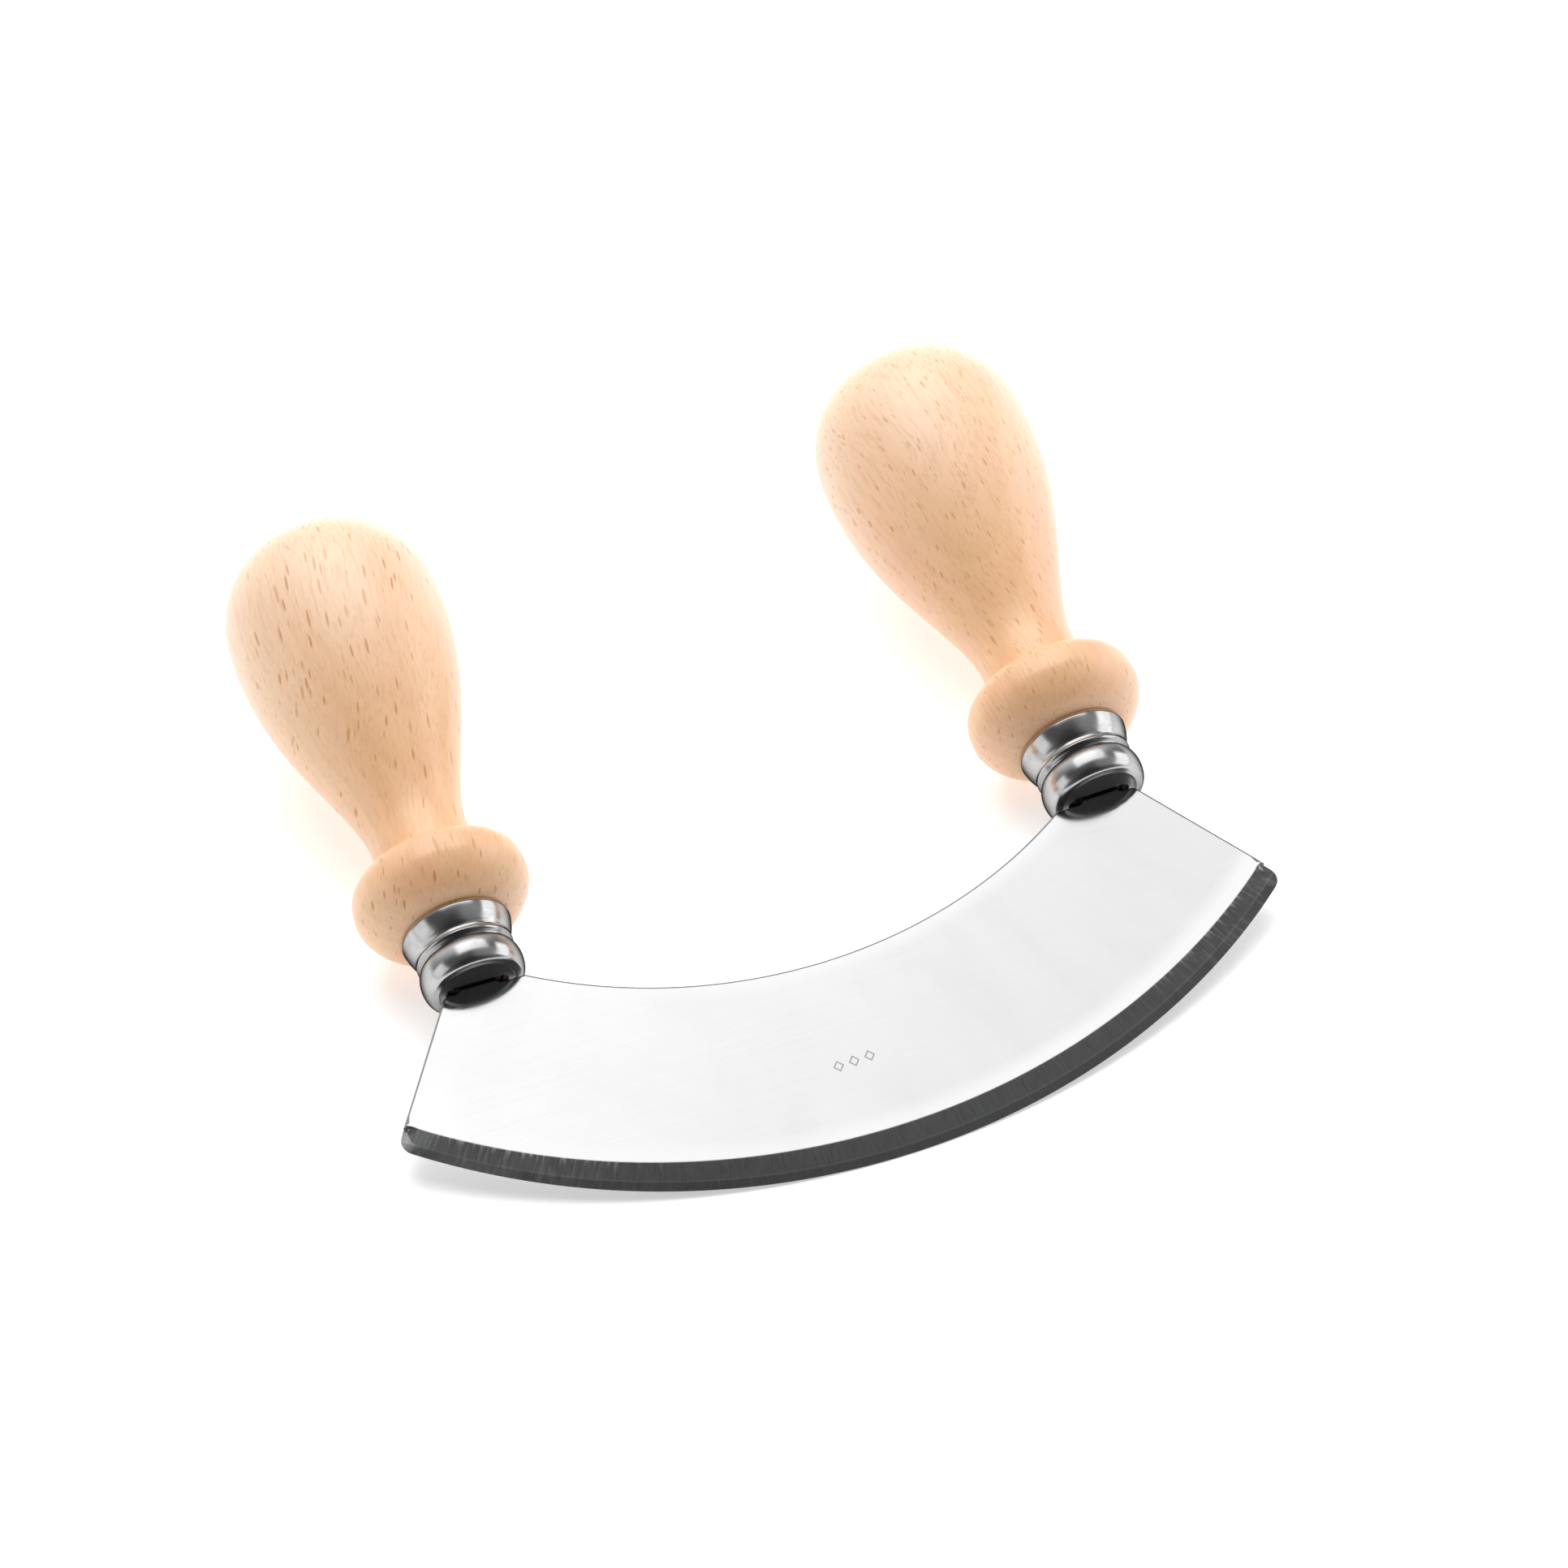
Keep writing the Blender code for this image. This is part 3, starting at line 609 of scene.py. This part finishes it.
def blade_mesh(name):
    right = half_stations()

    def flip(p):
        return Vector((-p.x, p.y))
    left = [(flip(e), flip(f), b) for e, f, b in right[1:-1]][::-1]
    loop = right + left
    edges = [s[0] for s in loop]
    flats = [s[1] for s in loop]
    normal_f = outward(flats)
    normal_e = outward(edges)
    meet = next(s[1] for s in right if not s[2])
    rows = []                                # one section per station: (plan, w)
    for (edge, flat, bevel), nf, ne in zip(loop, normal_f, normal_e):
        f3 = Vector((flat.x, flat.y, HALF_SHEET))
        e3 = Vector((edge.x, edge.y, HALF_LAND))
        run = (edge - flat).length
        if run > 0.05:
            hone = min(0.9, HONE_WIDTH / max(run, HONE_WIDTH * 1.25))
            half = HALF_LAND + (HONE_HALF - HALF_LAND) * min(1.0, run / 3.0)
            k3 = Vector((*(edge.lerp(flat, hone)), half))
        else:
            k3 = Vector((flat.x, flat.y, 0.32))
        near = max(0.0, 1.0 - (Vector((abs(flat.x), flat.y)) - meet).length / 2.2)
        soft = (BEVEL_ARRIS if run > 1.0 else ARRIS) + 0.30 * near ** 2
        first = (k3 - f3).normalized()
        a = f3 - Vector((nf.x, nf.y, 0.0)) * soft
        c = f3 + first * min(soft, 0.4 * (k3 - f3).length)
        mid = (a + 2 * f3 + c) / 4
        second = (e3 - k3).normalized()
        reach = min(0.09, 0.3 * (e3 - k3).length)
        k_up, k_down = k3 - first * reach, k3 + second * reach
        k_mid = (k_up + 2 * k3 + k_down) / 4
        rows.append([a, mid, c, k_up, k_mid, k_down, e3])
    bm = bmesh.new()
    rings = []
    count = len(rows[0])
    for j in range(count):
        rings.append([bm.verts.new(r[j] * MM) for r in rows])
    for j in reversed(range(count)):
        rings.append([bm.verts.new(Vector((r[j].x, r[j].y, -r[j].z)) * MM) for r in rows])
    n = len(loop)
    on_bevel = [(s[0] - s[1]).length > 0.05 for s in loop]
    last = len(rings) - 1
    for j, (a, b) in enumerate(zip(rings, rings[1:])):
        for i in range(n):
            k = (i + 1) % n
            face = bm.faces.new((a[i], a[k], b[k], b[i]))
            face.smooth = True
            bevel = on_bevel[i] or on_bevel[k]
            if bevel:
                face.material_index = 1 if 0 < j < last - 1 else 0
            else:
                face.material_index = 2
    top = bm.faces.new(rings[0][::-1])
    bottom = bm.faces.new(rings[-1])
    top.material_index = bottom.material_index = 0
    # crisp lines: the flats, and both borders of every rounding
    for j, ring in enumerate(rings):
        mirror = min(j, last - j)
        if mirror in (0, 2, 3, 5, 6):
            for i in range(n):
                e = bm.edges.get((ring[i], ring[(i + 1) % n]))
                if e:
                    e.smooth = False
    bmesh.ops.recalc_face_normals(bm, faces=bm.faces)
    # vertical lines at the real corners of the outline
    for e in bm.edges:
        if e.smooth and len(e.link_faces) == 2 and e.calc_face_angle(0.0) > math.radians(22):
            e.smooth = False
    mesh = bpy.data.meshes.new(name)
    bm.to_mesh(mesh)
    bm.free()
    return mesh


# ------------------------------------------------------------ turned pieces
def lathe(profile, segments, start=0.0):
    """Turn (r, s) points, in mm, about local Z; r = 0 makes a pole."""
    bm = bmesh.new()
    rings = []
    for r, s in profile:
        if r < 1e-6:
            rings.append([bm.verts.new((0.0, 0.0, s * MM))])
            continue
        rings.append([bm.verts.new((r * MM * math.cos(2 * math.pi * (i + start) / segments),
                                    r * MM * math.sin(2 * math.pi * (i + start) / segments),
                                    s * MM)) for i in range(segments)])
    for a, b in zip(rings, rings[1:]):
        for i in range(segments):
            j = (i + 1) % segments
            if len(a) == 1:
                bm.faces.new((a[0], b[i], b[j]))
            elif len(b) == 1:
                bm.faces.new((a[i], b[0], a[j]))
            else:
                bm.faces.new((a[i], b[i], b[j], a[j]))
    return bm


def spline(points, per):
    """Catmull-Rom curve through (r, s) points, centripetal-like by chord."""
    pts = [Vector(p) for p in points]
    pts = [pts[0] * 2 - pts[1]] + pts + [pts[-1] * 2 - pts[-2]]
    out = []
    for i in range(1, len(pts) - 2):
        p0, p1, p2, p3 = pts[i - 1:i + 3]
        t0 = 0.0
        t1 = t0 + (p1 - p0).length ** 0.5
        t2 = t1 + (p2 - p1).length ** 0.5
        t3 = t2 + (p3 - p2).length ** 0.5
        for k in range(per):
            t = t1 + (t2 - t1) * k / per
            a1 = p0 * ((t1 - t) / (t1 - t0)) + p1 * ((t - t0) / (t1 - t0))
            a2 = p1 * ((t2 - t) / (t2 - t1)) + p2 * ((t - t1) / (t2 - t1))
            a3 = p2 * ((t3 - t) / (t3 - t2)) + p3 * ((t - t2) / (t3 - t2))
            b1 = a1 * ((t2 - t) / (t2 - t0)) + a2 * ((t - t0) / (t2 - t0))
            b2 = a2 * ((t3 - t) / (t3 - t1)) + a3 * ((t - t1) / (t3 - t1))
            c = b1 * ((t2 - t) / (t2 - t1)) + b2 * ((t - t1) / (t2 - t1))
            out.append((c.x, c.y))
    out.append((pts[-2].x, pts[-2].y))
    return out


def smooth(t):
    return (1.0 - math.cos(math.pi * t)) / 2.0


def collar_radius(s):
    if s <= COLLAR_MID:
        x = (COLLAR_MID - s) / (COLLAR_MID - (FERRULE_TOP + FIT_GAP))
        p = UNDER_POWER
        return COLLAR_START_R + (COLLAR_R - COLLAR_START_R) * max(0.0, 1 - x ** p) ** (1 / p)
    x = (s - COLLAR_MID) / (COLLAR_TOP - COLLAR_MID)
    p = OVER_POWER
    return NECK_R + (COLLAR_R - NECK_R) * max(0.0, 1 - x ** p) ** (1 / p)


def handle_profile():
    start = FERRULE_TOP + FIT_GAP
    points = [(TENON_R, FERRULE_TOP + 0.04), (TENON_R + 0.7, FERRULE_TOP + 0.04),
              (COLLAR_START_R - 0.1, FERRULE_TOP + 0.04), (COLLAR_START_R + 0.12, FERRULE_TOP + 0.12)]
    n = 40
    for i in range(2, n + 1):                 # underside of the collar
        s = COLLAR_MID - (COLLAR_MID - start) * math.cos(0.5 * math.pi * i / n)
        points.append((collar_radius(s), s))
    n = 44
    top_r = NECK_R + NECK_FILLET
    for i in range(1, n + 1):                 # upper shoulder, by equal turns
        a = 0.5 * math.pi * i / n
        r = NECK_R + (COLLAR_R - NECK_R) * math.cos(a) ** (2 / OVER_POWER)
        s = COLLAR_MID + (COLLAR_TOP - COLLAR_MID) * math.sin(a) ** (2 / OVER_POWER)
        if r < top_r + 0.12:
            break
        points.append((r, s))
    n = 12
    for i in range(n + 1):                    # fillet into the neck
        a = 0.5 * math.pi * i / n
        points.append((top_r - NECK_FILLET * math.sin(a), COLLAR_TOP + NECK_FILLET * (1 - math.cos(a))))
    for i in range(1, 5):
        points.append((NECK_R, COLLAR_TOP + NECK_FILLET + (NECK_AT - COLLAR_TOP - NECK_FILLET) * i / 5))
    n = 60
    for i in range(n + 1):                    # neck swelling into the knob
        t = i / n
        points.append((NECK_R + (KNOB_R - NECK_R) * smooth(t ** SWELL_POWER), NECK_AT + (KNOB_AT - NECK_AT) * t))
    n = 44
    for i in range(1, n + 1):                 # crown
        a = 0.5 * math.pi * i / n
        r = KNOB_R * math.cos(a) ** (2 / KNOB_POWER) if i < n else 0.0
        points.append((r, KNOB_AT + (KNOB_TOP - KNOB_AT) * math.sin(a) ** (2 / KNOB_POWER)))
    return points


def ferrule_profile():
    """Outer profile: recessed base, rounded lip, rolled bead, groove, raised
    line, cove and flared band with a turned-over rim."""
    lip_r, lip = BASE_FLAT_R + 0.52, 0.33
    pts = [(BASE_FLAT_R + 0.10, 0.36)]
    for i in range(7):                        # inner side and crest of the lip
        a = math.radians(200 + 110 * i / 6)
        pts.append((lip_r + lip * math.cos(a), lip + lip * math.sin(a)))
    mid, grow = BEAD_TOP * 0.52, BEAD_TOP * 0.48
    r0 = GROOVE_R - 0.4
    n = 30
    for i in range(n + 1):                    # rolled bead
        a = math.radians(-80 + 158 * i / n)
        pts.append((r0 + (BEAD_R - r0) * math.cos(a), mid + grow * math.sin(a) * 1.02))
    pts += spline([(GROOVE_R - 0.06, BEAD_TOP + 0.28), (RIDGE_R - 0.16, RIDGE_AT - 0.32), (RIDGE_R, RIDGE_AT),
                   (RIDGE_R - 0.10, RIDGE_AT + 0.36), (COVE_R, COVE_AT + 0.05),
                   (COVE_R + 0.34, COVE_AT + 0.75), (BAND_R - 0.36, COVE_AT + 1.75),
                   (BAND_R - 0.10, FERRULE_TOP - 0.85), (BAND_R - 0.02, FERRULE_TOP - 0.38)], 5)
    for i in range(1, 7):                     # turned-over rim
        a = math.radians(90 * i / 6)
        pts.append((BAND_R - 0.30 + 0.28 * math.cos(a), FERRULE_TOP - 0.30 + 0.28 * math.sin(a)))
    return pts


def slot_cutter(matrix):
    bm = bmesh.new()
    n = 8
    half, end = SLOT_HALF_WIDTH, SLOT_HALF_LENGTH
    plan = []
    for sx in (1, -1):
        for i in range(n + 1):                # slot with rounded ends
            a = math.radians(-90 + 180 * i / n)
            x, y = end - half + half * math.cos(a), half * math.sin(a)
            plan.append((sx * x, sx * y))
    low = [bm.verts.new((x * MM, y * MM, -1.0 * MM)) for x, y in plan]
    high = [bm.verts.new((x * MM, y * MM, 3.0 * MM)) for x, y in plan]
    bm.faces.new(low[::-1])
    bm.faces.new(high)
    for i in range(len(plan)):
        j = (i + 1) % len(plan)
        bm.faces.new((low[i], low[j], high[j], high[i]))
    return new_object("slot_form", finish_mesh(bm, "slot_form"), matrix)


def cut_slot(obj, matrix):
    cutter = slot_cutter(matrix)
    mod = obj.modifiers.new("slot", "BOOLEAN")
    mod.operation, mod.solver, mod.object = "DIFFERENCE", "EXACT", cutter
    bpy.context.view_layer.update()
    graph = bpy.context.evaluated_depsgraph_get()
    mesh = bpy.data.meshes.new_from_object(obj.evaluated_get(graph), depsgraph=graph)
    old = obj.data
    obj.modifiers.clear()
    mesh.name = obj.name
    obj.data = mesh
    bpy.data.meshes.remove(old)
    bpy.data.objects.remove(cutter, do_unlink=True)
    mesh.shade_smooth()
    mesh.set_sharp_from_angle(angle=math.radians(40))


# ---------------------------------------------------------------- the pieces
blade = new_object("crescent_blade", blade_mesh("crescent_blade"), TOOL,
                   steel_flat(), steel_bevel(), steel_cut())
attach(blade, "root")
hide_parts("blade")

hidden = resin()
WOODS = {
    "left": ((3.7, 1.9, 0.4), 9.0, (0.96, 2.9, 7.0), 0.30, 0.95, 0.34),
    "right": ((8.3, 5.2, 2.6), -7.0, (0.78, 2.3, 3.8), 0.28, 0.74, 0.50),
}
for side, name in ((-1, "left"), (1, "right")):
    seat = seat_matrix(side)
    plated, base_disc = chrome("plated_metal_" + name, seat), ferrule_base("ferrule_base_" + name, seat)
    # ferrule
    outer = ferrule_profile()
    inner = [(r - FERRULE_WALL, s) for r, s in outer if s > FERRULE_BASE + 0.6 and r > 6.6][:-3]
    inner = [(max(TENON_R + 0.12, r), s) for r, s in inner]
    top_in = (inner[-1][0], FERRULE_TOP - 0.04)
    profile = ([(0.0, 0.36), (2.4, 0.36), (4.6, 0.36)] + outer + [top_in]
               + inner[::-1] + [(TENON_R + 0.10, FERRULE_BASE + 0.25), (0.0, FERRULE_BASE + 0.02)])
    ferrule = new_object(name + "_plated_ferrule", finish_mesh(lathe(profile, FERRULE_SEGMENTS), name + "_ferrule"),
                         seat, plated, base_disc)
    cut_slot(ferrule, seat)
    home = seat.inverted()
    for poly in ferrule.data.polygons:        # the recessed disc and the inside take the duller base-disc material, painted dark as reflection and shade
        c = (home @ poly.center) / MM
        ring = math.hypot(c.x, c.y)
        if (c.z < 0.5 and ring < BASE_FLAT_R + 0.34) or (ring < TENON_R + 0.2 and c.z < 1.5):
            poly.material_index = 1
    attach(ferrule, "root")
    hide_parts(name + "_ferrule")
    # handle
    foot = FERRULE_BASE + FIT_GAP
    profile = [(0.0, BORE_END), (BORE_R, BORE_END - 0.4), (BORE_R, foot), (TENON_R, foot)] + handle_profile()
    handle = new_object(name + "_beech_handle",
                        finish_mesh(lathe(profile, HANDLE_SEGMENTS, 0.5 if HANDLE_SEGMENTS % 4 else 0.0),
                                    name + "_handle", 50),
                        seat, beech("beech_" + name, seat, *WOODS[name]))
    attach(handle, "root")
    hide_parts(name + "_handle")
    # the resin keeps its CAD solid
    node = frame["nodes"][name + "_tang_adhesive"]
    for slot_index in range(len(node.material_slots)):
        node.material_slots[slot_index].material = hidden
    if not node.material_slots:
        node.data.materials.append(hidden)

# -------------------------------------------------------------------- stage
bm = bmesh.new()
bmesh.ops.create_grid(bm, x_segments=1, y_segments=1, size=30.0)
floor = new_object("floor", finish_mesh(bm, "floor"), Matrix.Translation((0.0, 0.0, -0.0001)), pale_floor())



def softbox(name, centre, aim, width, height, radiance, glossy=True):
    """Rectangular soft light; radiance is what a mirror would see in it."""
    data = bpy.data.lights.new(name, "AREA")
    data.shape = "RECTANGLE"
    data.size, data.size_y = width, height
    data.energy = radiance * math.pi * width * height
    obj = bpy.data.objects.new(name, data)
    SCENE.collection.objects.link(obj)
    obj.location = centre
    obj.rotation_euler = (Vector(aim) - Vector(centre)).to_track_quat("-Z", "Y").to_euler()
    obj.visible_camera = False
    obj.visible_glossy = glossy
    return obj


softbox("overhead_softbox", (0.080, 0.29, 0.64), (0.080, 0.27, 0.0), 0.76, 0.52, 1.40)
softbox("right_softbox", (1.00, -0.05, 0.36), (0.0, -0.05, 0.10), 1.00, 0.56, 1.85)
softbox("left_softbox", (-1.00, -0.08, 0.34), (0.0, -0.05, 0.10), 0.80, 0.50, 1.12)
# large diffusers: they only fill the matt surfaces
softbox("overhead_wash", (0.105, 0.29, 0.70), (0.105, 0.27, 0.0), 0.80, 0.70, 2.05, glossy=False)
softbox("front_wash", (-0.2, -1.4, 1.0), (0.0, 0.0, 0.0), 1.4, 1.0, 0.20, glossy=False)

# the rest of the studio: a pale band at the horizon, grey walls, a dark side
# where the camera stands
world = bpy.data.worlds.new("studio")
SCENE.world = world
world.use_nodes = True
g = Graph(world.node_tree)
ray = g.vec("NORMALIZE", g.node("ShaderNodeTexCoord").outputs["Generated"])
dx, dy, dz = g.split(ray)


def lobe(direction, inner, outer):
    """1 within inner degrees of a direction, 0 beyond outer degrees."""
    d = Vector(direction).normalized()
    return g.ramp(g.vec("DOT_PRODUCT", ray, tuple(d)), math.cos(math.radians(outer)), math.cos(math.radians(inner)))


WALLS, SOUTH_EAST, NORTH, HORIZON = 0.11, 0.26, 0.90, 0.85
shade = g.ramp(g.vec("DOT_PRODUCT", ray, tuple(Vector((-0.15, -0.75, 0.6)).normalized())),
               math.cos(math.radians(40)), math.cos(math.radians(12)), 1.0, 0.35)
level = g.math("ADD", WALLS, g.math("MULTIPLY", lobe((0.55, -0.22, 0.80), 8.0, 34.0), SOUTH_EAST))
level = g.math("ADD", level, g.math("MULTIPLY", lobe((-0.1, 1.0, 0.45), 15.0, 65.0), NORTH))
level = g.math("MULTIPLY", level, shade)
horizon = g.ramp(dz, 0.05, 0.14, 1.0, 0.0)
level = g.math("ADD", g.math("MULTIPLY", level, g.math("SUBTRACT", 1.0, horizon)), g.math("MULTIPLY", horizon, HORIZON))
background = world.node_tree.nodes["Background"]
background.inputs["Color"].default_value = (1.0, 1.0, 1.0, 1.0)
g.put(background.inputs["Strength"], level)

# ------------------------------------------------------------------- camera
cam_data = bpy.data.cameras.new("camera")
cam_data.lens = 223.6
cam_data.sensor_width = 36.0
cam_data.sensor_fit = "HORIZONTAL"
cam_data.clip_start, cam_data.clip_end = 0.05, 100.0
camera = bpy.data.objects.new("camera", cam_data)
SCENE.collection.objects.link(camera)
camera.matrix_world = Matrix(((0.93482117, 0.28327539, -0.21415983, -0.31064587),
                              (-0.35154425, 0.65284201, -0.67097984, -0.99151894),
                              (-0.05025954, 0.70253281, 0.70987437, 1.06334173),
                              (0.0, 0.0, 0.0, 1.0)))
SCENE.camera = camera
SCENE.view_settings.view_transform = "Standard"
SCENE.view_settings.look = "None"

# --------------------------------------------------------------------- done
bpy.context.view_layer.update()
